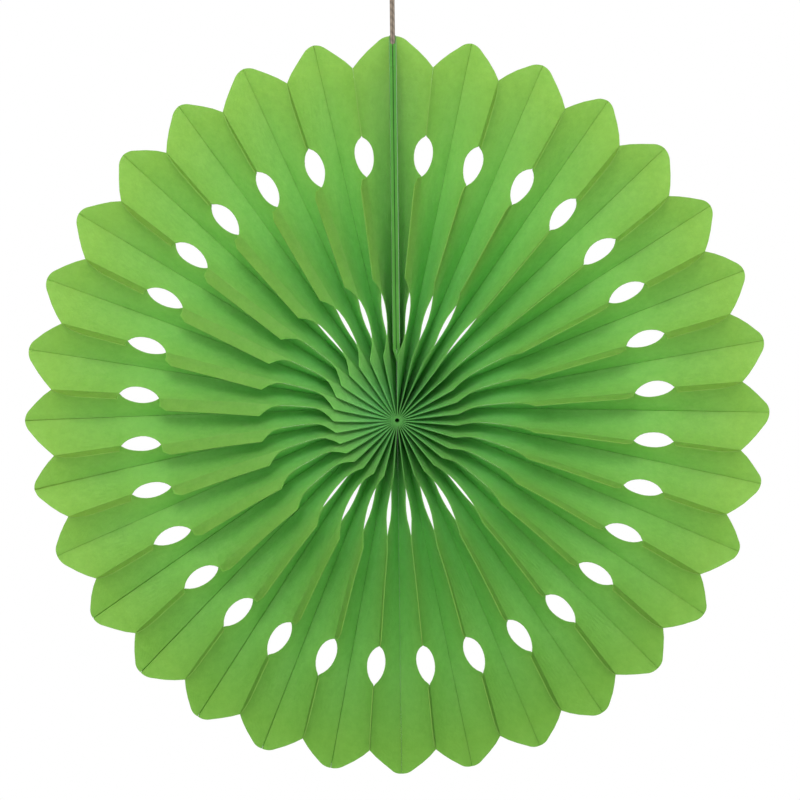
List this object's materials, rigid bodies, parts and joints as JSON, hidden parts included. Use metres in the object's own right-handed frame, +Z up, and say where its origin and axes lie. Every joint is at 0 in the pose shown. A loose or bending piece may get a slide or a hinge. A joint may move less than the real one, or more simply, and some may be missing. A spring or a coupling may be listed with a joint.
{
  "type": "paper fan rosette",
  "caption": "Round pleated tissue paper fan rosette with die-cut petals and holes, closed between two end cards at the top, hanging from a short looped string.",
  "frame": {"origin": "middle of the hub, on the rosette's axis, halfway between its front and back edges", "axes": "+Y along the axis from front to back, so the front looks along -Y; +Z up through the seam and the string; +X to the right seen from the front"},
  "size_m": [0.4, 0.036, 0.4644],
  "materials": {
    "tissue": "matte dyed tissue",
    "card": "matte dyed board",
    "tape": "matte double-sided tape",
    "string": "twisted cotton"
  },
  "bodies": {
    "root": {"pleated_tissue": "tissue", "end_card_right": "card", "end_card_left": "card", "seam_tape": "tape", "hanging_string": "string", "string_knot": "string", "string_loop": "string"}
  },
  "joints": []
}
